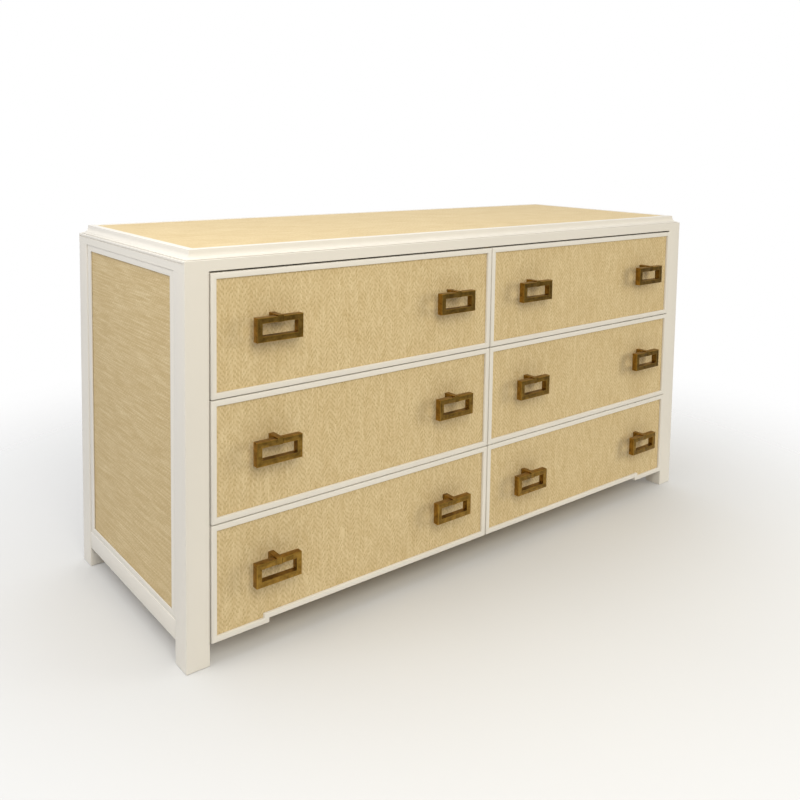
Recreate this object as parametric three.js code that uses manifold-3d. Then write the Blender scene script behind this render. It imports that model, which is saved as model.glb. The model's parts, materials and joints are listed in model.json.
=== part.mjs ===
// A six-drawer dresser: a lacquered case on four square posts, faced with woven raffia, with drop-ring
// pulls. Millimetres, +Z up. The origin is on the floor, in the middle of the whole outline, pulls
// included. The drawers open toward -Y.
import * as THREE from "three";
import { mergeVertices } from "three/addons/utils/BufferGeometryUtils.js";
import Module from "manifold-3d";

const wasm = await Module();
wasm.setup();

// Overall sizes
const caseWidth = 1524;
const caseDepth = 558;
const caseHeight = 768; // floor to the top board's upper face
const postSize = 48;
const topBoardThickness = 21;

// Raised tier on the top board
const tierHeight = 19;
const tierInset = 15;
const tierEdgeHeight = 6; // upright edge above the cove
const coveRadius = 11;
const topBorder = 15; // white border round the top's raffia
const topPanelSink = 1; // the raffia lies this far under the border
const grooveHeight = 2.5; // shadow line along each end of the top board
const grooveDepth = 2;
const grooveDrop = 4;

// Ends
const railBottom = 45;
const railHeight = 39;
const railThickness = 20;
const railSetback = 0.6; // behind the posts' outer face
const endPanelSink = 5;
const endPanelThickness = 12;
const endStileWidth = 20; // end frame's strip beside each post
const endTopWidth = 13.5;
const endBottomWidth = 12;
const endFrameSetback = 2; // behind the posts' outer face

// Inside of the case
const boardThickness = 18;
const bottomBoardRise = 3; // its lower face above the bottom fronts' edge
const boardSetback = 1.5; // front edges of the boards and partition, behind the drawer fronts
const backPanelThickness = 8;
const backPanelSetback = 8;
const guideWidth = 18;
const guideHeight = 15;

// Drawer fronts
const rows = ["top", "middle", "bottom"];
const frontsBottom = 53; // floor to the bottom fronts' edge
const bottomRowLess = 16.5; // the bottom fronts are this much lower than the others
const stepDrop = 9; // the bottom fronts hang lower beside the posts
const stepLength = 123;
const frontThickness = 18;
const frontProud = 3.5; // in front of the posts
const gapUnderTop = 3.8;
const gapBetweenRows = 2.3;
const gapAtPost = 1.6;
const gapAtCentre = 3;
const edgeWidth = 11; // raised white edge round the raffia
const facingSink = 5;
const facingThickness = 2;

// Drawer boxes
const boxBackRoom = 42; // behind a closed drawer's box
const boxHeadroom = 15; // under the board above
const boxWall = 12;
const boxFloor = 6;
const boxFloorRise = 8; // floor's lower face above the sides' lower edge
const sideClearance = 2;
const runClearance = 0.5;
const gapBehindFront = 0.3;

// Pulls
const ringWidth = 100;
const ringHeight = 47;
const ringBar = 11.5;
const ringDepth = 16;
const ringEase = 1; // bevel on the ring's edges
const ringDrop = 86.5; // front's top edge down to the ring's top edge
const ringFromSide = 128; // front's side edge to the middle of the ring
const pullReach = 34; // ring's face in front of the posts
const stemWidth = 12;
const stemHeight = 12;
const stemRise = 2; // above the ring
const knuckleSetback = 0.6; // behind the ring's face
const pinDiameter = 5;
const pinClearance = 0.1; // round the pin in the knuckle's bore
const knuckleSideGap = 0.4;
const spigotDiameter = 6;
const spigotCover = 2.7; // wood left behind the spigot's hole

const fitGap = 0.3; // between pieces that touch
const overcut = 1; // how far a cutter runs past the face it opens
const roundSides = 24;

// Places worked out from the sizes
const frontY = (pullReach - caseDepth) / 2;
const faceY = frontY - frontProud; // the drawer fronts' face
const frontBackY = faceY + frontThickness;
const backY = frontY + caseDepth;
const sideX = caseWidth / 2;
const postInnerX = sideX - postSize;
const postTop = caseHeight - topBoardThickness;
const railTop = railBottom + railHeight;
const endPanelOuterX = sideX - endPanelSink;
const endPanelInnerX = endPanelOuterX - endPanelThickness;
const railInnerX = sideX - railSetback - railThickness;
const innerFrontY = frontBackY + boardSetback;
const backPanelFrontY = backY - backPanelSetback - backPanelThickness;
const lapY = (innerFrontY + backPanelFrontY) / 2;
const partitionHalf = boardThickness / 2;

const frontTops = [];
const frontBottoms = [];
let nextTop = postTop - gapUnderTop;
const heightForFronts = nextTop - frontsBottom - gapBetweenRows * (rows.length - 1);
const upperFrontHeight = (heightForFronts + bottomRowLess) / rows.length;
for (const row of rows) {
  const height = row === "bottom" ? upperFrontHeight - bottomRowLess : upperFrontHeight;
  frontTops.push(nextTop);
  frontBottoms.push(nextTop - height);
  nextTop -= height + gapBetweenRows;
}
// Upper face of the board that each row's boxes slide on
const boardTops = frontBottoms.map((bottom, row) =>
  rows[row] === "bottom" ? bottom + bottomBoardRise + boardThickness : bottom + boardThickness / 2,
);
const frontInnerX = gapAtCentre / 2;
const frontOuterX = postInnerX - gapAtPost;
const boxInnerX = partitionHalf + sideClearance;
const guideInnerX = postInnerX - sideClearance * 2;
const boxOuterX = guideInnerX - sideClearance;
const boxFrontY = frontBackY + gapBehindFront;
const boxBackY = backPanelFrontY - boxBackRoom;
const spigotEndY = frontBackY - spigotCover - fitGap;

const lacquer = { color: 0xebe5d8, roughness: 0.45, metalness: 0 };
const raffia = { color: 0xd5bf92, roughness: 0.85, metalness: 0 };
const drawerWood = { color: 0xd9c6a5, roughness: 0.6, metalness: 0 };
const brass = { color: 0x7a5a22, roughness: 0.35, metalness: 1 };

const dresser = new THREE.Group();

function addPiece(name, geometry, finish) {
  const mesh = new THREE.Mesh(geometry, new THREE.MeshStandardMaterial(finish));
  mesh.name = name;
  dresser.add(mesh);
  return mesh;
}

// A box between two corners
function block([x0, y0, z0], [x1, y1, z1]) {
  const geometry = new THREE.BoxGeometry(x1 - x0, y1 - y0, z1 - z0);
  return geometry.translate((x0 + x1) / 2, (y0 + y1) / 2, (z0 + z1) / 2);
}

function toSolid(geometry) {
  const bare = geometry.clone();
  bare.deleteAttribute("normal");
  bare.deleteAttribute("uv");
  const merged = mergeVertices(bare, 1e-4);
  return new wasm.Manifold(
    new wasm.Mesh({
      numProp: 3,
      vertProperties: new Float32Array(merged.attributes.position.array),
      triVerts: new Uint32Array(merged.index.array),
    }),
  );
}

function toGeometry(solid) {
  const mesh = solid.getMesh();
  const geometry = new THREE.BufferGeometry();
  geometry.setAttribute("position", new THREE.BufferAttribute(mesh.vertProperties, 3));
  geometry.setIndex(new THREE.BufferAttribute(mesh.triVerts, 1));
  const faceted = geometry.toNonIndexed();
  faceted.computeVertexNormals();
  return faceted;
}

// Joins and cuts closed geometries
function combine(base, { add = [], cut = [] }) {
  let solid = toSolid(base);
  for (const geometry of add) solid = solid.add(toSolid(geometry));
  for (const geometry of cut) solid = solid.subtract(toSolid(geometry));
  return toGeometry(solid);
}

// Outlines are right-angled polygons [u, v], counter-clockwise
function rectangle(u0, v0, u1, v1) {
  return [[u0, v0], [u1, v0], [u1, v1], [u0, v1]];
}

function inward([u0, v0], [u1, v1]) {
  const length = Math.hypot(u1 - u0, v1 - v0);
  return [(v0 - v1) / length, (u1 - u0) / length];
}

function insetOutline(outline, inset) {
  return outline.map((corner, k) => {
    const before = outline.at(k - 1);
    const after = outline[(k + 1) % outline.length];
    const arriving = inward(before, corner);
    const leaving = inward(corner, after);
    return [
      corner[0] + inset * (arriving[0] + leaving[0]),
      corner[1] + inset * (arriving[1] + leaving[1]),
    ];
  });
}

// A flat plate on an outline, from w0 to w1 above its plane
function plate(outline, w0, w1) {
  const shape = new THREE.Shape(outline.map(([u, v]) => new THREE.Vector2(u, v)));
  const geometry = new THREE.ExtrudeGeometry(shape, { depth: w1 - w0, bevelEnabled: false });
  return geometry.translate(0, 0, w0);
}

// A moulding carried round an outline with mitred corners. Profile points are [inset, height], and run
// up the outer side, across the top, down the inner side and back underneath.
function mitredMoulding(outline, profile) {
  const corners = outline.length;
  const positions = [];
  const index = [];
  profile.forEach(([inset, height], i) => {
    for (const [u, v] of insetOutline(outline, inset)) positions.push(u, v, height);
    const here = i * corners;
    const next = ((i + 1) % profile.length) * corners;
    for (let k = 0; k < corners; k += 1) {
      const after = (k + 1) % corners;
      index.push(here + k, here + after, next + after);
      index.push(here + k, next + after, next + k);
    }
  });
  const geometry = new THREE.BufferGeometry();
  geometry.setAttribute("position", new THREE.Float32BufferAttribute(positions, 3));
  geometry.setIndex(index);
  const faceted = geometry.toNonIndexed();
  faceted.computeVertexNormals();
  return faceted;
}

// Stands a plate or moulding up to face the front, with its plane at y
function faceFront(geometry, y) {
  return geometry.rotateX(Math.PI / 2).translate(0, y, 0);
}

// A round bar along X or Y
function roundBar(diameter, from, to, axis) {
  const length = from.distanceTo(to);
  const geometry = new THREE.CylinderGeometry(diameter / 2, diameter / 2, length, roundSides);
  if (axis === "x") geometry.rotateZ(Math.PI / 2);
  const middle = from.clone().add(to).multiplyScalar(0.5);
  return geometry.translate(middle.x, middle.y, middle.z);
}

// Case

function addPosts() {
  for (const [side, sign] of [["left", -1], ["right", 1]]) {
    const x = sign * (sideX - postSize / 2);
    for (const [end, y] of [["front", frontY + postSize / 2], ["back", backY - postSize / 2]]) {
      const post = new THREE.BoxGeometry(postSize, postSize, postTop - fitGap);
      addPiece(`post_${end}_${side}`, post.translate(x, y, (postTop - fitGap) / 2), lacquer);
    }
  }
}

function addEnds() {
  const nearY = frontY + postSize + fitGap;
  const farY = backY - postSize - fitGap;
  const middleY = (nearY + farY) / 2;
  const half = (farY - nearY) / 2;
  const panelBottom = railTop + fitGap;
  const panelTop = postTop - fitGap;
  const frameFace = endPanelSink - endFrameSetback;
  const outer = rectangle(-half, panelBottom, half, panelTop);
  const inner = rectangle(
    -half + endStileWidth, panelBottom + endBottomWidth, half - endStileWidth, panelTop - endTopWidth,
  );
  for (const [side, sign] of [["left", -1], ["right", 1]]) {
    const railX = [sign * (sideX - railSetback), sign * railInnerX].sort((a, b) => a - b);
    addPiece(`end_rail_${side}`, block([railX[0], nearY, railBottom], [railX[1], farY, railTop]), lacquer);

    const panelX = [sign * endPanelOuterX, sign * endPanelInnerX].sort((a, b) => a - b);
    addPiece(
      `end_panel_${side}`,
      block([panelX[0], nearY, panelBottom], [panelX[1], farY, panelTop]),
      raffia,
    );

    const frame = combine(plate(outer, fitGap, frameFace), {
      cut: [plate(inner, fitGap - overcut, frameFace + overcut)],
    });
    frame.rotateX(Math.PI / 2).rotateZ((sign * Math.PI) / 2);
    addPiece(`end_frame_${side}`, frame.translate(sign * endPanelOuterX, middleY, 0), lacquer);
  }
}

function addTop() {
  const board = block([-sideX, frontY, postTop], [sideX, backY, caseHeight]);
  const grooveTop = caseHeight - grooveDrop;
  const grooves = [-1, 1].map((sign) => {
    const edges = [sign * (sideX - grooveDepth), sign * (sideX + overcut)].sort((a, b) => a - b);
    return block(
      [edges[0], frontY + grooveDepth, grooveTop - grooveHeight],
      [edges[1], backY - grooveDepth, grooveTop],
    );
  });
  addPiece("top_board", combine(board, { cut: grooves }), lacquer);

  const tierBottom = caseHeight + fitGap;
  const tierTop = caseHeight + tierHeight;
  const footInset = tierInset - coveRadius;
  const outline = rectangle(
    -sideX + footInset, frontY + footInset, sideX - footInset, backY - footInset,
  );
  const coveTop = tierTop - tierEdgeHeight;
  const coveSteps = 8;
  const cove = [];
  for (let i = 0; i <= coveSteps; i += 1) {
    const turn = (Math.PI / 2) * (i / coveSteps);
    cove.push([coveRadius * Math.sin(turn), coveTop - coveRadius * Math.cos(turn)]);
  }
  const core = coveRadius + topBorder / 2;
  const edgeProfile = [[0, tierBottom], ...cove, [coveRadius, tierTop], [core, tierTop], [core, tierBottom]];
  const fill = plate(insetOutline(outline, core - overcut), tierBottom, tierTop);
  const panelDepth = topPanelSink + facingThickness;
  const recess = insetOutline(outline, coveRadius + topBorder);
  const cutter = plate(recess, tierTop - panelDepth - fitGap, tierTop + overcut);
  addPiece("top_tier", combine(mitredMoulding(outline, edgeProfile), { add: [fill], cut: [cutter] }), lacquer);

  const panelOutline = insetOutline(recess, fitGap);
  addPiece("top_panel", plate(panelOutline, tierTop - panelDepth, tierTop - topPanelSink), raffia);
}

function addInside() {
  addPiece(
    "back_panel",
    block(
      [-postInnerX + fitGap, backPanelFrontY, railBottom],
      [postInnerX - fitGap, backPanelFrontY + backPanelThickness, postTop - fitGap],
    ),
    lacquer,
  );

  const bottomBoardFace = boardTops.at(-1) - boardThickness;
  const boardBackY = backPanelFrontY - fitGap;
  const laps = boardTops.map((top) =>
    block(
      [-partitionHalf - overcut, innerFrontY - overcut, top - boardThickness - fitGap],
      [partitionHalf + overcut, lapY + fitGap / 2, top + fitGap],
    ),
  );
  const partition = block(
    [-partitionHalf, innerFrontY, bottomBoardFace],
    [partitionHalf, boardBackY, postTop - fitGap],
  );
  addPiece("centre_partition", combine(partition, { cut: laps }), drawerWood);

  const names = ["upper_dust_board", "lower_dust_board", "bottom_board"];
  boardTops.forEach((top, row) => {
    const bottom = top - boardThickness;
    const endX = (top < railTop + boardThickness ? railInnerX : endPanelInnerX) - fitGap;
    const board = block([-endX, innerFrontY, bottom], [endX, boardBackY, top]);
    const cut = [
      block(
        [-partitionHalf - fitGap, lapY - fitGap / 2, bottom - overcut],
        [partitionHalf + fitGap, boardBackY + overcut, top + overcut],
      ),
    ];
    const guides = [];
    for (const sign of [-1, 1]) {
      const notchX = [sign * (postInnerX - fitGap), sign * (sideX + overcut)].sort((a, b) => a - b);
      const low = bottom - overcut;
      const high = top + overcut;
      cut.push(block([notchX[0], innerFrontY - overcut, low], [notchX[1], frontY + postSize + fitGap, high]));
      cut.push(block([notchX[0], backY - postSize - fitGap, low], [notchX[1], boardBackY + overcut, high]));
      const guideX = [sign * guideInnerX, sign * (guideInnerX + guideWidth)].sort((a, b) => a - b);
      guides.push(
        block(
          [guideX[0], frontY + postSize + overcut, top - overcut],
          [guideX[1], backY - postSize - overcut, top + guideHeight],
        ),
      );
    }
    addPiece(names[row], combine(board, { add: guides, cut }), drawerWood);
  });
}

// Drawers

// The outline of one front. Only the bottom row has the step beside the post.
function frontOutline(row, sign) {
  const edges = [sign * frontInnerX, sign * frontOuterX].sort((a, b) => a - b);
  const [u0, u1] = edges;
  const v0 = frontBottoms[row];
  const v1 = frontTops[row];
  if (rows[row] !== "bottom") return rectangle(u0, v0, u1, v1);
  const low = v0 - stepDrop;
  const stepX = sign * (frontOuterX - stepLength);
  if (sign < 0) return [[u0, low], [stepX, low], [stepX, v0], [u1, v0], [u1, v1], [u0, v1]];
  return [[u0, v0], [stepX, v0], [stepX, low], [u1, low], [u1, v1], [u0, v1]];
}

function addDrawer(row, side, sign) {
  const label = `${rows[row]}_${side}`;
  const outline = frontOutline(row, sign);
  const facingY = faceY + facingSink;
  const ringTop = frontTops[row] - ringDrop;
  const pullXs = [frontInnerX + ringFromSide, frontOuterX - ringFromSide].map((x) => sign * x);
  pullXs.sort((a, b) => a - b);
  const stemZ = ringTop - ringBar / 2;

  // Front with its recess, and a blind hole for each spigot
  const holes = pullXs.map((x) =>
    roundBar(
      spigotDiameter + 2 * fitGap,
      new THREE.Vector3(x, faceY - overcut, stemZ),
      new THREE.Vector3(x, spigotEndY + fitGap, stemZ),
      "y",
    ),
  );
  const slab = faceFront(plate(outline, -frontThickness, 0), faceY);
  const recessOutline = insetOutline(outline, edgeWidth);
  const recess = faceFront(plate(recessOutline, -(facingSink + facingThickness + fitGap), overcut), faceY);
  const front = combine(slab, { cut: [recess, ...holes] });
  addPiece(`drawer_front_${label}`, front, lacquer);

  const facingPlate = plate(insetOutline(recessOutline, fitGap), -facingThickness, 0);
  const facing = combine(faceFront(facingPlate, facingY), { cut: holes });
  addPiece(`drawer_facing_${label}`, facing, raffia);

  addDrawerBox(row, label, sign);

  pullXs.forEach((x, k) => {
    const end = k === 0 ? "a" : "b";
    addPiece(`pull_stem_${label}_${end}`, pullStem(x, ringTop, facingY), brass);
    addPiece(`pull_ring_${label}_${end}`, pullRing(x, ringTop), brass);
  });
}

function addDrawerBox(row, label, sign) {
  const [x0, x1] = [sign * boxInnerX, sign * boxOuterX].sort((a, b) => a - b);
  const z0 = boardTops[row] + runClearance;
  const ceiling = row === 0 ? postTop : boardTops[row - 1] - boardThickness;
  const z1 = ceiling - boxHeadroom;
  const inside = block(
    [x0 + boxWall, boxFrontY + boxWall, z0 + boxFloorRise + boxFloor],
    [x1 - boxWall, boxBackY - boxWall, z1 + overcut],
  );
  const under = block(
    [x0 + boxWall, boxFrontY + boxWall, z0 - overcut],
    [x1 - boxWall, boxBackY - boxWall, z0 + boxFloorRise],
  );
  const box = block([x0, boxFrontY, z0], [x1, boxBackY, z1]);
  addPiece(`drawer_box_${label}`, combine(box, { cut: [inside, under] }), drawerWood);
}

// The stem stands off the facing, and its knuckle fills the break in the ring's top bar
function pullStem(x, ringTop, facingY) {
  const ringFaceY = frontY - pullReach;
  const pivot = new THREE.Vector3(x, ringFaceY + ringDepth / 2, ringTop - ringBar / 2);
  const half = stemWidth / 2;
  const bar = block(
    [x - half, ringFaceY + knuckleSetback, ringTop - stemHeight],
    [x + half, facingY - fitGap, ringTop + stemRise],
  );
  const reach = new THREE.Vector3(half + overcut, 0, 0);
  const bore = roundBar(
    pinDiameter + 2 * pinClearance, pivot.clone().sub(reach), pivot.clone().add(reach), "x",
  );
  const spigot = roundBar(
    spigotDiameter,
    new THREE.Vector3(x, facingY - fitGap - overcut, pivot.z),
    new THREE.Vector3(x, spigotEndY, pivot.z),
    "y",
  );
  return combine(bar, { add: [spigot], cut: [bore] });
}

function pullRing(x, ringTop) {
  const ringFaceY = frontY - pullReach;
  const outline = rectangle(x - ringWidth / 2, ringTop - ringHeight, x + ringWidth / 2, ringTop);
  const e = ringEase;
  const profile = [
    [0, e], [0, ringDepth - e], [e, ringDepth], [ringBar - e, ringDepth],
    [ringBar, ringDepth - e], [ringBar, e], [ringBar - e, 0], [e, 0],
  ];
  const loop = faceFront(mitredMoulding(outline, profile), ringFaceY + ringDepth);
  const breakHalf = stemWidth / 2 + knuckleSideGap;
  const gap = block(
    [x - breakHalf, ringFaceY - overcut, ringTop - ringBar - overcut],
    [x + breakHalf, ringFaceY + ringDepth + overcut, ringTop + overcut],
  );
  const pivot = new THREE.Vector3(x, ringFaceY + ringDepth / 2, ringTop - ringBar / 2);
  const reach = new THREE.Vector3(breakHalf + ringBar / 2, 0, 0);
  const pin = roundBar(pinDiameter, pivot.clone().sub(reach), pivot.clone().add(reach), "x");
  const broken = toSolid(loop).subtract(toSolid(gap));
  return toGeometry(broken.add(toSolid(pin)));
}

addPosts();
addEnds();
addTop();
addInside();
rows.forEach((_, row) => {
  for (const [side, sign] of [["left", -1], ["right", 1]]) addDrawer(row, side, sign);
});

export default dresser;
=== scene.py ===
"""Finishes a packed six-drawer dresser in eased lacquer, woven raffia, pale wood and antique brass."""

import json
import math

import bmesh
import bpy
from bpy.props import FloatProperty, FloatVectorProperty, IntProperty, PointerProperty
from mathutils import Matrix, Vector


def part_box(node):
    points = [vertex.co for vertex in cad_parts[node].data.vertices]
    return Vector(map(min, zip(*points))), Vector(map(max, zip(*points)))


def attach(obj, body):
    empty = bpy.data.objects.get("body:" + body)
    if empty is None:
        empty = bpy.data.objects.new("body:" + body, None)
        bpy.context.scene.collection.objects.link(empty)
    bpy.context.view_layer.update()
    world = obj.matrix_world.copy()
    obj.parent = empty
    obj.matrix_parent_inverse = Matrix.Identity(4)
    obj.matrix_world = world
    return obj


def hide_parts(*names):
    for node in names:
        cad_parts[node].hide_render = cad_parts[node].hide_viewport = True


bl_info = {
    "name": "Raffia dresser",
    "version": (1, 0, 0),
    "blender": (4, 5, 0),
    "location": "View3D > Sidebar > Dresser",
    "description": "Finishes the packed dresser in lacquer, raffia, wood and brass",
    "category": "Object",
}

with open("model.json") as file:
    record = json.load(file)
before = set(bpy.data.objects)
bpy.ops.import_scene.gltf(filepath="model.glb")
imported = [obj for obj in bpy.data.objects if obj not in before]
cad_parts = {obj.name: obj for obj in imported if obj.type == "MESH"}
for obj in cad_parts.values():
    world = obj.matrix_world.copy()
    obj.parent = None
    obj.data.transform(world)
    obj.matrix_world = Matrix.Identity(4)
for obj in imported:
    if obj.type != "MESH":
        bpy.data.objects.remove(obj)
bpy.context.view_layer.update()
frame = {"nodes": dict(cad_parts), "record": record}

ROWS = ("top", "middle", "bottom")
SIDES = ("left", "right")
DRAWERS = [f"{row}_{side}" for row in ROWS for side in SIDES]
PULLS = [f"{drawer}_{end}" for drawer in DRAWERS for end in "ab"]
JOINT_GAP = 0.0004  # the CAD keeps pieces that touch this far apart, or a little less
SMOOTH_BELOW = math.radians(20)  # coves and round bars shade as curves, eased corners stay crisp
EASED_ABOVE = math.radians(40)  # only corners are eased, not the facets of a cove
FLAT_WITHIN = math.radians(0.5)  # triangles this nearly level with each other are one face
SAME_POINT = 1e-6
SHORTEST_EASED = 0.003  # an edge shorter than this is part of a cove or a round bar
BRASS_SEGMENTS = 2
EDGE_WEAR_AND_HIGHLIGHT_GAIN = 1.15  # rubbed wear and painted highlight on the eased edges, over clean faces
LACQUER_DRIFT = 0.955  # the darkest patch of lacquer over the palest

FLOOR_RADIUS = 3.2
FLOOR_SINK = 0.0005  # keeps the floor's face out of the feet's
FLOOR_SOLID_TO = 0.5  # it fades from here
FLOOR_GONE_BY = 1.9
LIGHTS = (  # name, place, what it aims at, width, setting for its power, colour
    ("window_light", (-1.1, -2.0, 1.75), (-0.3, -0.27, 0.6), 1.2, "window_power", "FFF9E8"),
    ("fill_light", (1.9, -2.0, 0.95), (0.5, -0.27, 0.35), 1.2, "fill_power", "FFF9E8"),
    ("side_light", (-1.9, -0.1, 1.75), (-0.76, 0.0, 0.6), 1.0, "side_power", "FFFFFF"),
    ("overhead_light", (0.2, 0.3, 2.6), (0.0, 0.0, 0.8), 2.0, "top_power", "FFFFFF"),
)


def linear(hex_colour):
    """sRGB hex to the linear values that sockets take."""
    channels = [int(hex_colour[i:i + 2], 16) / 255 for i in (0, 2, 4)]
    return [c / 12.92 if c <= 0.04045 else ((c + 0.055) / 1.055) ** 2.4 for c in channels]


# ---- nodes


def add_node(tree, kind, inputs=None, **settings):
    """Adds a node. inputs maps a socket's name or number to a value, or to another node's output."""
    node = tree.nodes.new(kind)
    for name, value in settings.items():
        setattr(node, name, value)
    for socket, value in (inputs or {}).items():
        if isinstance(value, bpy.types.NodeSocket):
            tree.links.new(value, node.inputs[socket])
        else:
            node.inputs[socket].default_value = value
    return node


def rgba(colour):
    return (*colour, 1.0)


def start_material(name):
    """A new material's node tree, its shader and the object coordinates."""
    material = bpy.data.materials.new(name)
    material.use_nodes = True
    tree = material.node_tree
    shader = tree.nodes["Principled BSDF"]
    place = add_node(tree, "ShaderNodeTexCoord").outputs["Object"]
    return material, tree, shader, place


def satin_lacquer(finish):
    """Sprayed off-white lacquer on wood: nearly flat, a soft sheen and the faintest orange peel."""
    material, tree, shader, place = start_material("satin_lacquer")
    # A sprayed coat drifts in tone over a hand's width
    drift = add_node(tree, "ShaderNodeTexNoise", {"Vector": place, "Scale": 1 / 0.16, "Detail": 3.0})
    tone = add_node(tree, "ShaderNodeMix", {
        "Factor": drift.outputs["Fac"],
        "A": rgba(finish.lacquer_colour),
        "B": rgba([c * LACQUER_DRIFT for c in finish.lacquer_colour]),
    }, data_type="RGBA")
    # Orange peel is 1 to 2 mm across
    peel = add_node(tree, "ShaderNodeTexNoise", {"Vector": place, "Scale": 1 / 0.0016, "Detail": 2.0})
    sheen = add_node(tree, "ShaderNodeMapRange", {
        "Value": drift.outputs["Fac"], "To Min": 0.34, "To Max": 0.46,
    })
    bump = add_node(tree, "ShaderNodeBump", {
        "Height": peel.outputs["Fac"], "Strength": 0.08, "Distance": 0.0002,
    })
    tree.links.new(tone.outputs["Result"], shader.inputs["Base Color"])
    tree.links.new(sheen.outputs["Result"], shader.inputs["Roughness"])
    tree.links.new(bump.outputs["Normal"], shader.inputs["Normal"])
    shader.inputs["IOR"].default_value = 1.5
    return material


def woven_raffia(finish, name, across, along, dip_shade, mottle, streaks):
    """Raffia woven in a broken herringbone and glued to a board. Flat straws float over and dip under,
    so leaning rows of small soft dips, darkened with painted shade, turn back on themselves, and each straw
    has its own tone."""
    material, tree, shader, place = start_material(name)

    def math_node(operation, *values):
        return add_node(
            tree, "ShaderNodeMath", dict(enumerate(values)), operation=operation
        ).outputs[0]

    axes = add_node(tree, "ShaderNodeSeparateXYZ", {"Vector": place}).outputs

    def noise(width, length, detail):
        """Noise in patches of the given width across the straws and length along them."""
        patch = add_node(tree, "ShaderNodeCombineXYZ", {
            "X": math_node("MULTIPLY", axes[across], 1 / width),
            "Y": math_node("MULTIPLY", axes[along], 1 / length),
        }).outputs[0]
        texture = add_node(tree, "ShaderNodeTexNoise", {
            "Vector": patch, "Scale": 1.0, "Detail": detail,
        })
        return add_node(tree, "ShaderNodeMapRange", {
            "Value": texture.outputs["Fac"], "From Min": 0.3, "From Max": 0.7,
        }).outputs["Result"]

    def white_noise(x, y):
        cell = add_node(tree, "ShaderNodeCombineXYZ", {"X": x, "Y": y}).outputs[0]
        return add_node(
            tree, "ShaderNodeTexWhiteNoise", {"Vector": cell}, noise_dimensions="2D"
        ).outputs

    straws = math_node("DIVIDE", axes[across], finish.straw_width)
    straw = math_node("FLOOR", straws)
    in_straw = math_node("FRACT", straws)
    # The twill steps a third of a float from straw to straw. It turns back from band to band.
    in_band = math_node("PINGPONG", straw, finish.herringbone_straws)
    loose = math_node("MULTIPLY", white_noise(straw, 0.5)["Value"], 0.2)
    phase = math_node("DIVIDE", axes[along], finish.float_length)
    phase = math_node("SUBTRACT", phase, math_node("DIVIDE", in_band, 3.0))
    phase = math_node("ADD", phase, loose)
    phase = math_node("ADD", phase, math_node("MULTIPLY", noise(0.06, 0.08, 0.0), 0.5))
    in_float = math_node("FRACT", phase)
    # 1 where a straw dips under, 0 along its float
    off_middle = math_node("ABSOLUTE", math_node("SUBTRACT", math_node("MULTIPLY", in_float, 2.0), 1.0))
    dip = math_node("POWER", off_middle, 1.5)
    side = math_node("ABSOLUTE", math_node("SUBTRACT", math_node("MULTIPLY", in_straw, 2.0), 1.0))
    edge = math_node("POWER", side, 3.0)
    height = math_node("SUBTRACT", math_node("SUBTRACT", 1.0, dip), math_node("MULTIPLY", edge, 0.5))

    # Floats differ one by one, straws in streaks 3 to 12 mm wide, and the cloth in patches a hand wide
    floats = white_noise(straw, math_node("FLOOR", phase))["Color"]
    of_float = add_node(tree, "ShaderNodeSeparateColor", {"Color": floats}).outputs
    tone = math_node("MULTIPLY", of_float["Red"], mottle)
    tone = math_node("ADD", tone, math_node("MULTIPLY", noise(0.003, 0.1, 2.0), streaks))
    tone = math_node("ADD", tone, math_node("MULTIPLY", noise(0.012, 0.12, 2.0), 0.2))
    tone = math_node("ADD", tone, math_node("MULTIPLY", noise(0.07, 0.1, 2.0), 0.2))
    straw_colour = add_node(tree, "ShaderNodeMix", {
        "Factor": tone, "A": rgba(finish.raffia_light), "B": rgba(finish.raffia_dark),
    }, data_type="RGBA", clamp_factor=True).outputs["Result"]
    # Painted shade darkens the dips, deep at some and hardly showing at others, and the straws' sides
    deepness = math_node("ADD", math_node("MULTIPLY", of_float["Green"], 0.9), 0.1)
    depth = math_node("MULTIPLY", deepness, dip)
    shade = math_node("ADD", math_node("MULTIPLY", depth, dip_shade), math_node("MULTIPLY", edge, 0.12))
    woven = add_node(tree, "ShaderNodeMix", {
        "Factor": shade, "A": straw_colour, "B": rgba(finish.raffia_shadow),
    }, data_type="RGBA", clamp_factor=True).outputs["Result"]
    bump = add_node(tree, "ShaderNodeBump", {"Height": height, "Strength": 0.35, "Distance": 0.0005})
    tree.links.new(woven, shader.inputs["Base Color"])
    tree.links.new(bump.outputs["Normal"], shader.inputs["Normal"])
    shader.inputs["Roughness"].default_value = 0.78
    shader.inputs["IOR"].default_value = 1.45
    return material


def pale_poplar(finish, name, stretch):
    """Planed, clear-sealed poplar: straight grain a few millimetres wide, drawn out along the board."""
    material, tree, shader, place = start_material(name)
    board = add_node(tree, "ShaderNodeMapping", {"Vector": place, "Scale": stretch}).outputs[0]
    grain = add_node(tree, "ShaderNodeTexNoise", {
        "Vector": board, "Scale": 1.0, "Detail": 6.0, "Roughness": 0.6, "Distortion": 0.4,
    })
    figure = add_node(tree, "ShaderNodeMapRange", {
        "Value": grain.outputs["Fac"], "From Min": 0.32, "From Max": 0.68,
    })
    tone = add_node(tree, "ShaderNodeMix", {
        "Factor": figure.outputs["Result"], "A": rgba(finish.wood_light), "B": rgba(finish.wood_dark),
    }, data_type="RGBA")
    bump = add_node(tree, "ShaderNodeBump", {
        "Height": grain.outputs["Fac"], "Strength": 0.15, "Distance": 0.0003,
    })
    tree.links.new(tone.outputs["Result"], shader.inputs["Base Color"])
    tree.links.new(bump.outputs["Normal"], shader.inputs["Normal"])
    shader.inputs["Roughness"].default_value = 0.5
    return material


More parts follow.
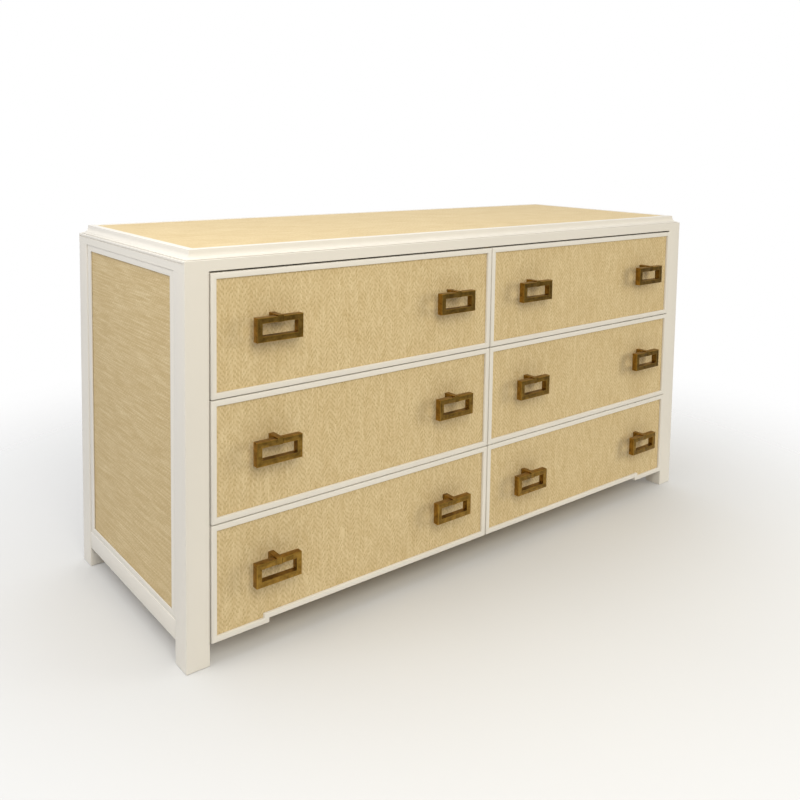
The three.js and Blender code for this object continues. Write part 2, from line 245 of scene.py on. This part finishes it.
def antique_brass(name, clean, tarnished, roughness):
    """Cast brass browned by age: a dull, dark metal with cloudy tarnish some 10 mm across."""
    material, tree, shader, place = start_material(name)
    cloud = add_node(tree, "ShaderNodeTexNoise", {"Vector": place, "Scale": 1 / 0.01, "Detail": 5.0})
    age = add_node(tree, "ShaderNodeMapRange", {
        "Value": cloud.outputs["Fac"], "From Min": 0.35, "From Max": 0.65,
    })
    tone = add_node(tree, "ShaderNodeMix", {
        "Factor": age.outputs["Result"], "A": rgba(clean), "B": rgba(tarnished),
    }, data_type="RGBA")
    # Fine rubbing marks under a millimetre wide keep the sheen uneven
    rub = add_node(tree, "ShaderNodeTexNoise", {"Vector": place, "Scale": 1 / 0.0008, "Detail": 2.0})
    sheen = add_node(tree, "ShaderNodeMapRange", {
        "Value": rub.outputs["Fac"], "To Min": roughness - 0.07, "To Max": roughness + 0.07,
    })
    bump = add_node(tree, "ShaderNodeBump", {
        "Height": rub.outputs["Fac"], "Strength": 0.12, "Distance": 0.0001,
    })
    tree.links.new(tone.outputs["Result"], shader.inputs["Base Color"])
    tree.links.new(sheen.outputs["Result"], shader.inputs["Roughness"])
    tree.links.new(bump.outputs["Normal"], shader.inputs["Normal"])
    shader.inputs["Metallic"].default_value = 1.0
    return material


def matt_studio_floor(solid_to, gone_by):
    """Matt pale studio floor that fades into the white room."""
    material, tree, shader, place = start_material("matt_studio_floor")
    drift = add_node(tree, "ShaderNodeTexNoise", {"Vector": place, "Scale": 1 / 0.8, "Detail": 2.0})
    tone = add_node(tree, "ShaderNodeMix", {
        "Factor": drift.outputs["Fac"], "A": rgba(linear("D6D6D6")), "B": rgba(linear("D2D2D2")),
    }, data_type="RGBA")
    reach = add_node(
        tree, "ShaderNodeVectorMath", {"Vector": place}, operation="LENGTH"
    ).outputs["Value"]
    left = add_node(tree, "ShaderNodeMapRange", {
        "Value": reach, "From Min": solid_to, "From Max": gone_by, "To Min": 1.0, "To Max": 0.0,
    }, interpolation_type="SMOOTHSTEP").outputs["Result"]
    tree.links.new(tone.outputs["Result"], shader.inputs["Base Color"])
    tree.links.new(left, shader.inputs["Alpha"])
    shader.inputs["Roughness"].default_value = 0.9
    return material


def material_for(name, make, *arguments):
    """The material of that name, made the first time it is asked for."""
    return bpy.data.materials.get(name) or make(*arguments)


def lacquer(finish):
    return material_for("satin_lacquer", satin_lacquer, finish)


def raffia(finish, across, along, dip_shade=0.7, mottle=0.45, streaks=0.25):
    """Raffia with its straws along an axis, how dark the painted shade in its dips is, and how much its
    floats and streaks differ.
    """
    name = f"woven_raffia_along_{along.lower()}"
    return material_for(name, woven_raffia, finish, name, across, along, dip_shade, mottle, streaks)


def wood(finish, along):
    """Poplar with its grain along an axis: 350 mm long and 7 mm wide."""
    name = f"pale_poplar_along_{along.lower()}"
    stretch = [1 / 0.35 if axis == along else 1 / 0.007 for axis in "XYZ"]
    return material_for(name, pale_poplar, finish, name, stretch)


# ---- pieces


def body_of_node(node):
    for body, members in frame["record"]["behaviour"]["bodies"].items():
        if node in members:
            return body
    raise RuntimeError(f"{node} is in no body")


def finish_node(node, material):
    """Gives a CAD node its material. Its shape stays."""
    mesh = frame["nodes"][node].data
    mesh.materials.clear()
    mesh.materials.append(material)


def copy_of_node(node):
    """A CAD node's shape with its triangles joined into whole faces."""
    mesh = bmesh.new()
    mesh.from_mesh(frame["nodes"][node].data)
    bmesh.ops.remove_doubles(mesh, verts=mesh.verts, dist=SAME_POINT)
    bmesh.ops.dissolve_limit(
        mesh, angle_limit=FLAT_WITHIN, verts=mesh.verts, edges=mesh.edges, delimit=set()
    )
    for face in mesh.faces:
        face.material_index = 0
    return mesh


def ease_edges(mesh, width, segments, joint_height=None):
    """Rounds the sharp edges over, and gives back the new faces. A joint that is filled and lacquered
    over stays square, and each side of it closes half of its gap."""
    joint = []
    if joint_height:
        joint = [vert for vert in mesh.verts if abs(vert.co.z - joint_height) < JOINT_GAP]
        for vert in joint:
            vert.co.z = joint_height
    sharp = [
        edge for edge in mesh.edges
        if edge.is_manifold and edge.calc_face_angle() > EASED_ABOVE
        and edge.calc_length() > SHORTEST_EASED and not all(vert in joint for vert in edge.verts)
    ]
    eased = bmesh.ops.bevel(
        mesh, geom=sharp, offset=width, offset_type="OFFSET", segments=segments, profile=0.5,
        affect="EDGES", material=-1, clamp_overlap=True,
    )
    return eased["faces"]


def add_piece(mesh, name, node, materials):
    """Turns a bmesh into a piece that stands for a CAD node and moves with its body."""
    data = bpy.data.meshes.new(name)
    for face in mesh.faces:
        face.smooth = True
    mesh.to_mesh(data)
    mesh.free()
    data.set_sharp_from_angle(angle=SMOOTH_BELOW)
    for material in materials:
        data.materials.append(material)
    piece = bpy.data.objects.new(name, data)
    bpy.context.scene.collection.objects.link(piece)
    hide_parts(node)
    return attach(piece, body_of_node(node))


def eased_piece(node, material, width, segments, joint_height=None):
    mesh = copy_of_node(node)
    ease_edges(mesh, width, segments, joint_height)
    return add_piece(mesh, f"{node}_eased", node, [material])


def joint_height():
    """The middle of the gap between the posts and the top board."""
    return (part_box("post_front_left")[1].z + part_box("top_board")[0].z) / 2


# ---- what a user would change


class DresserFinish(bpy.types.PropertyGroup):
    lacquer_colour: FloatVectorProperty(
        name="Lacquer", description="Off-white lacquer on the case and the drawers' edges",
        subtype="COLOR", size=3, min=0.0, max=1.0, default=linear("E3DED5"),
    )
    raffia_light: FloatVectorProperty(
        name="Pale straw", description="The palest straws in the raffia",
        subtype="COLOR", size=3, min=0.0, max=1.0, default=linear("E2CFA6"),
    )
    raffia_dark: FloatVectorProperty(
        name="Dark straw", description="The darkest straws in the raffia",
        subtype="COLOR", size=3, min=0.0, max=1.0, default=linear("C9B183"),
    )
    # Painted shade: the colour that the dips and the straws' sides are darkened towards
    raffia_shadow: FloatVectorProperty(
        name="Between straws", description="Where a straw dips under the next",
        subtype="COLOR", size=3, min=0.0, max=1.0, default=linear("A88E5A"),
    )
    straw_width: FloatProperty(
        name="Straw width",
        description="Width of one straw, drawn at twice the real 1.5 mm so it shows",
        subtype="DISTANCE", unit="LENGTH", default=0.003, min=0.0005,
    )
    float_length: FloatProperty(
        name="Float length", description="How far a straw runs before it dips under again",
        subtype="DISTANCE", unit="LENGTH", default=0.011, min=0.002,
    )
    herringbone_straws: IntProperty(
        name="Straws in a band", description="How many straws lean one way before the weave turns back",
        default=6, min=1,
    )
    wood_light: FloatVectorProperty(
        name="Pale grain", description="The palest grain of the drawer boxes",
        subtype="COLOR", size=3, min=0.0, max=1.0, default=linear("E2CDA6"),
    )
    wood_dark: FloatVectorProperty(
        name="Dark grain", description="The darkest grain of the drawer boxes",
        subtype="COLOR", size=3, min=0.0, max=1.0, default=linear("CBAE80"),
    )
    brass_clean: FloatVectorProperty(
        name="Clean brass", description="Brass where it has been rubbed",
        subtype="COLOR", size=3, min=0.0, max=1.0, default=linear("A8833C"),
    )
    brass_tarnished: FloatVectorProperty(
        name="Tarnished brass", description="Brass where it has browned",
        subtype="COLOR", size=3, min=0.0, max=1.0, default=linear("80622A"),
    )


class DresserEdges(bpy.types.PropertyGroup):
    case_ease: FloatProperty(
        name="Case edges", description="Radius on the edges of the posts, rails and top",
        subtype="DISTANCE", unit="LENGTH", default=0.0018, min=0.0002,
    )
    drawer_ease: FloatProperty(
        name="Drawer edges", description="Radius on the edges of the drawer fronts",
        subtype="DISTANCE", unit="LENGTH", default=0.0012, min=0.0002,
    )
    box_ease: FloatProperty(
        name="Drawer box edges", description="Radius on the edges of the drawer boxes",
        subtype="DISTANCE", unit="LENGTH", default=0.001, min=0.0002,
    )
    brass_ease: FloatProperty(
        name="Brass edges", description="Radius on the edges of the rings and stems",
        subtype="DISTANCE", unit="LENGTH", default=0.0005, min=0.0001,
    )
    segments: IntProperty(
        name="Segments", description="Faces across each eased edge", default=3, min=1, max=6,
    )


class DresserStage(bpy.types.PropertyGroup):
    lens: FloatProperty(
        name="Lens", description="Focal length", subtype="DISTANCE_CAMERA", default=38.30,
    )
    frame_shift: FloatProperty(name="Shift", description="Rise or fall of the lens", default=-0.235)
    camera_place: FloatVectorProperty(
        name="Camera", description="Where the camera stands", subtype="XYZ", unit="LENGTH",
        default=(-1.4015, -1.6619, 0.9821),
    )
    camera_yaw: FloatProperty(
        name="Yaw", description="How far the camera turns right of the drawers' square-on view",
        subtype="ANGLE", default=math.radians(38.828),
    )
    camera_pitch: FloatProperty(
        name="Pitch", description="How far the camera looks down", subtype="ANGLE",
        default=math.radians(4.593),
    )
    camera_roll: FloatProperty(
        name="Roll", description="Tilt of the horizon", subtype="ANGLE", default=math.radians(0.902),
    )
    room_behind: FloatProperty(
        name="Room behind", description="Brightness of the room behind the drawers and overhead",
        default=0.85, min=0.0,
    )
    room_ahead: FloatProperty(
        name="Room ahead", description="Brightness of the room that the drawers face",
        default=0.3, min=0.0,
    )
    window_power: FloatProperty(
        name="Window", description="Large soft light high in front of the left end", default=30.0,
        unit="POWER",
    )
    fill_power: FloatProperty(
        name="Fill", description="Low soft light in front of the right end", default=22.0, unit="POWER",
    )
    side_power: FloatProperty(
        name="Side", description="Soft light off the left end", default=12.0, unit="POWER",
    )
    top_power: FloatProperty(
        name="Overhead", description="Large soft light overhead", default=12.0, unit="POWER",
    )


# ---- the case


class DRESSER_OT_posts(bpy.types.Operator):
    """Four square posts that run down to the floor, with eased corners"""
    bl_idname = "dresser.posts"
    bl_label = "Posts"

    def execute(self, context):
        edges = context.scene.dresser_edges
        for end in ("front", "back"):
            for side in SIDES:
                eased_piece(
                    f"post_{end}_{side}", lacquer(context.scene.dresser_finish), edges.case_ease,
                    edges.segments, joint_height(),
                )
        return {"FINISHED"}


class DRESSER_OT_ends(bpy.types.Operator):
    """The two ends: bottom rail, flat frame and the raffia panel inside it"""
    bl_idname = "dresser.ends"
    bl_label = "Ends"

    def execute(self, context):
        edges, finish = context.scene.dresser_edges, context.scene.dresser_finish
        for side in SIDES:
            eased_piece(f"end_rail_{side}", lacquer(finish), edges.case_ease, edges.segments)
            eased_piece(f"end_frame_{side}", lacquer(finish), edges.case_ease * 0.5, edges.segments)
            straight_weave = raffia(finish, "Z", "Y", dip_shade=0.4, mottle=0.25, streaks=0.85)
            finish_node(f"end_panel_{side}", straight_weave)
        return {"FINISHED"}


class DRESSER_OT_top(bpy.types.Operator):
    """The top board, the raised tier with its cove, and the raffia set into it"""
    bl_idname = "dresser.top"
    bl_label = "Top"

    def execute(self, context):
        edges, finish = context.scene.dresser_edges, context.scene.dresser_finish
        eased_piece(
            "top_board", lacquer(finish), edges.case_ease * 0.5, edges.segments, joint_height(),
        )
        eased_piece("top_tier", lacquer(finish), edges.case_ease * 0.5, edges.segments)
        finish_node("top_panel", raffia(finish, "Y", "X", dip_shade=0.35, mottle=0.2, streaks=0.4))
        return {"FINISHED"}


class DRESSER_OT_inside(bpy.types.Operator):
    """The back panel, the partition and the boards that the drawers slide on"""
    bl_idname = "dresser.inside"
    bl_label = "Inside of the case"

    def execute(self, context):
        edges, finish = context.scene.dresser_edges, context.scene.dresser_finish
        eased_piece("back_panel", lacquer(finish), edges.box_ease, edges.segments)
        eased_piece("centre_partition", wood(finish, "Z"), edges.box_ease, edges.segments)
        for board in ("upper_dust_board", "lower_dust_board", "bottom_board"):
            eased_piece(board, wood(finish, "X"), edges.box_ease, edges.segments)
        return {"FINISHED"}


# ---- the drawers


class DRESSER_OT_drawer_fronts(bpy.types.Operator):
    """Six drawer fronts with a raised lacquered edge, and the raffia set into them"""
    bl_idname = "dresser.drawer_fronts"
    bl_label = "Drawer fronts"

    def execute(self, context):
        edges, finish = context.scene.dresser_edges, context.scene.dresser_finish
        for drawer in DRAWERS:
            eased_piece(f"drawer_front_{drawer}", lacquer(finish), edges.drawer_ease, edges.segments)
            finish_node(f"drawer_facing_{drawer}", raffia(finish, "X", "Z"))
        return {"FINISHED"}


class DRESSER_OT_drawer_boxes(bpy.types.Operator):
    """Six drawer boxes, with the grain along each side, across front and back, and across the floor"""
    bl_idname = "dresser.drawer_boxes"
    bl_label = "Drawer boxes"
    board: FloatProperty(
        name="Board", description="Thickness of the sides", default=0.012, unit="LENGTH",
    )

    def execute(self, context):
        edges, finish = context.scene.dresser_edges, context.scene.dresser_finish
        for drawer in DRAWERS:
            node = f"drawer_box_{drawer}"
            low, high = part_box(node)
            mesh = copy_of_node(node)
            ease_edges(mesh, edges.box_ease, edges.segments)
            for face in mesh.faces:
                middle = face.calc_center_median()
                reach = self.board * 1.1  # a little past the side, so that its eased edges count
                in_side = middle.x < low.x + reach or middle.x > high.x - reach
                face.material_index = 1 if in_side else 0
            add_piece(mesh, f"{node}_eased", node, [wood(finish, "X"), wood(finish, "Y")])
        return {"FINISHED"}


class DRESSER_OT_pulls(bpy.types.Operator):
    """Twelve rectangular drop rings on their stems, with edges painted brighter than their faces, for
    rubbed wear and a painted highlight
    """
    bl_idname = "dresser.pulls"
    bl_label = "Pulls"

    def execute(self, context):
        edges, finish = context.scene.dresser_edges, context.scene.dresser_finish
        clean, tarnished = list(finish.brass_clean), list(finish.brass_tarnished)
        faces = material_for("antique_brass", antique_brass, "antique_brass", clean, tarnished, 0.36)
        # The eased edges get a brighter, glossier brass: partly rubbed wear, partly a painted highlight
        # where the edges catch the light
        edge_wear_and_highlight = [min(1.0, c * EDGE_WEAR_AND_HIGHLIGHT_GAIN) for c in clean]
        edge_wear_and_highlight_brass = material_for(
            "antique_brass_rubbed", antique_brass, "antique_brass_rubbed", edge_wear_and_highlight, clean, 0.3
        )
        for pull in PULLS:
            for kind in ("stem", "ring"):
                node = f"pull_{kind}_{pull}"
                mesh = copy_of_node(node)
                for face in ease_edges(mesh, edges.brass_ease, BRASS_SEGMENTS):
                    face.material_index = 1
                add_piece(mesh, f"{node}_eased", node, [faces, edge_wear_and_highlight_brass])
        return {"FINISHED"}


# ---- the stage


class DRESSER_OT_stage(bpy.types.Operator):
    """A pale floor, soft studio light and the camera"""
    bl_idname = "dresser.stage"
    bl_label = "Stage"

    def execute(self, context):
        stage = context.scene.dresser_stage
        self.add_floor()
        self.add_room_light(context.scene, stage.room_behind, stage.room_ahead)
        for name, place, aim, size, power, colour in LIGHTS:
            self.add_light(name, place, aim, size, getattr(stage, power), colour)
        self.add_camera(context.scene, stage)
        return {"FINISHED"}

    def add_floor(self):
        mesh = bmesh.new()
        bmesh.ops.create_circle(mesh, cap_ends=True, radius=FLOOR_RADIUS, segments=96)
        bmesh.ops.translate(mesh, verts=mesh.verts, vec=(0, 0, -FLOOR_SINK))
        data = bpy.data.meshes.new("studio_floor")
        mesh.to_mesh(data)
        mesh.free()
        data.materials.append(matt_studio_floor(FLOOR_SOLID_TO, FLOOR_GONE_BY))
        floor = bpy.data.objects.new("studio_floor", data)
        bpy.context.scene.collection.objects.link(floor)

    def add_room_light(self, scene, behind, ahead):
        """The room is seen as white, and lights the dresser more from behind than from ahead."""
        world = bpy.data.worlds.new("studio")
        world.use_nodes = True
        tree = world.node_tree
        direction = add_node(tree, "ShaderNodeTexCoord").outputs["Generated"]
        axes = add_node(tree, "ShaderNodeSeparateXYZ", {"Vector": direction}).outputs
        lifted = add_node(
            tree, "ShaderNodeMath", {0: axes["Z"], 1: 0.9, 2: axes["Y"]}, operation="MULTIPLY_ADD"
        )
        light = add_node(tree, "ShaderNodeMapRange", {
            "Value": lifted.outputs[0], "From Min": -0.3, "From Max": 0.7,
            "To Min": ahead, "To Max": behind,
        }, interpolation_type="SMOOTHSTEP").outputs["Result"]
        seen = add_node(tree, "ShaderNodeLightPath").outputs["Is Camera Ray"]
        strength = add_node(tree, "ShaderNodeMix", {"Factor": seen, "A": light, "B": 1.0}).outputs["Result"]
        background = tree.nodes["Background"]
        background.inputs["Color"].default_value = (1.0, 1.0, 1.0, 1.0)
        tree.links.new(strength, background.inputs["Strength"])
        scene.world = world
        scene.view_settings.view_transform = "Standard"

    def add_light(self, name, place, aim, size, power, colour):
        data = bpy.data.lights.new(name, "AREA")
        data.shape = "SQUARE"
        data.size = size
        data.energy = power
        data.color = linear(colour)
        light = bpy.data.objects.new(name, data)
        bpy.context.scene.collection.objects.link(light)
        light.location = place
        light.rotation_euler = (Vector(aim) - Vector(place)).to_track_quat("-Z", "Y").to_euler()
        light.visible_camera = False
        light.visible_glossy = False

    def add_camera(self, scene, stage):
        data = bpy.data.cameras.new("camera")
        data.sensor_width = 36.0
        data.lens = stage.lens
        data.shift_y = stage.frame_shift
        camera = bpy.data.objects.new("camera", data)
        scene.collection.objects.link(camera)
        yaw, pitch, roll = stage.camera_yaw, stage.camera_pitch, stage.camera_roll
        ahead = Vector((
            math.sin(yaw) * math.cos(pitch), math.cos(yaw) * math.cos(pitch), -math.sin(pitch),
        ))
        level = Vector((math.cos(yaw), -math.sin(yaw), 0.0))
        upright = level.cross(ahead)
        right = math.cos(roll) * level + math.sin(roll) * upright
        up = math.cos(roll) * upright - math.sin(roll) * level
        turn = Matrix((right, up, -ahead)).transposed()
        camera.matrix_world = Matrix.Translation(stage.camera_place) @ turn.to_4x4()
        scene.camera = camera


class DRESSER_PT_panel(bpy.types.Panel):
    bl_idname = "DRESSER_PT_panel"
    bl_label = "Dresser"
    bl_space_type = "VIEW_3D"
    bl_region_type = "UI"
    bl_category = "Dresser"

    def draw(self, context):
        for group in ("dresser_finish", "dresser_edges", "dresser_stage"):
            box = self.layout.box()
            settings = getattr(context.scene, group)
            for name in settings.bl_rna.properties.keys():
                if name not in ("rna_type", "name"):
                    box.prop(settings, name)
        for operator in OPERATORS:
            self.layout.operator(operator.bl_idname)


OPERATORS = (
    DRESSER_OT_stage, DRESSER_OT_posts, DRESSER_OT_ends, DRESSER_OT_top, DRESSER_OT_inside,
    DRESSER_OT_drawer_fronts, DRESSER_OT_drawer_boxes, DRESSER_OT_pulls,
)
CLASSES = (DresserFinish, DresserEdges, DresserStage, *OPERATORS, DRESSER_PT_panel)


def register():
    for item in CLASSES:
        bpy.utils.register_class(item)
    bpy.types.Scene.dresser_finish = PointerProperty(type=DresserFinish)
    bpy.types.Scene.dresser_edges = PointerProperty(type=DresserEdges)
    bpy.types.Scene.dresser_stage = PointerProperty(type=DresserStage)


def unregister():
    del bpy.types.Scene.dresser_stage
    del bpy.types.Scene.dresser_edges
    del bpy.types.Scene.dresser_finish
    for item in reversed(CLASSES):
        bpy.utils.unregister_class(item)


def main():
    register()
    bpy.ops.dresser.stage()
    bpy.ops.dresser.posts()
    bpy.ops.dresser.ends()
    bpy.ops.dresser.top()
    bpy.ops.dresser.inside()
    bpy.ops.dresser.drawer_fronts()
    bpy.ops.dresser.drawer_boxes()
    bpy.ops.dresser.pulls()


if __name__ == "__main__":
    main()
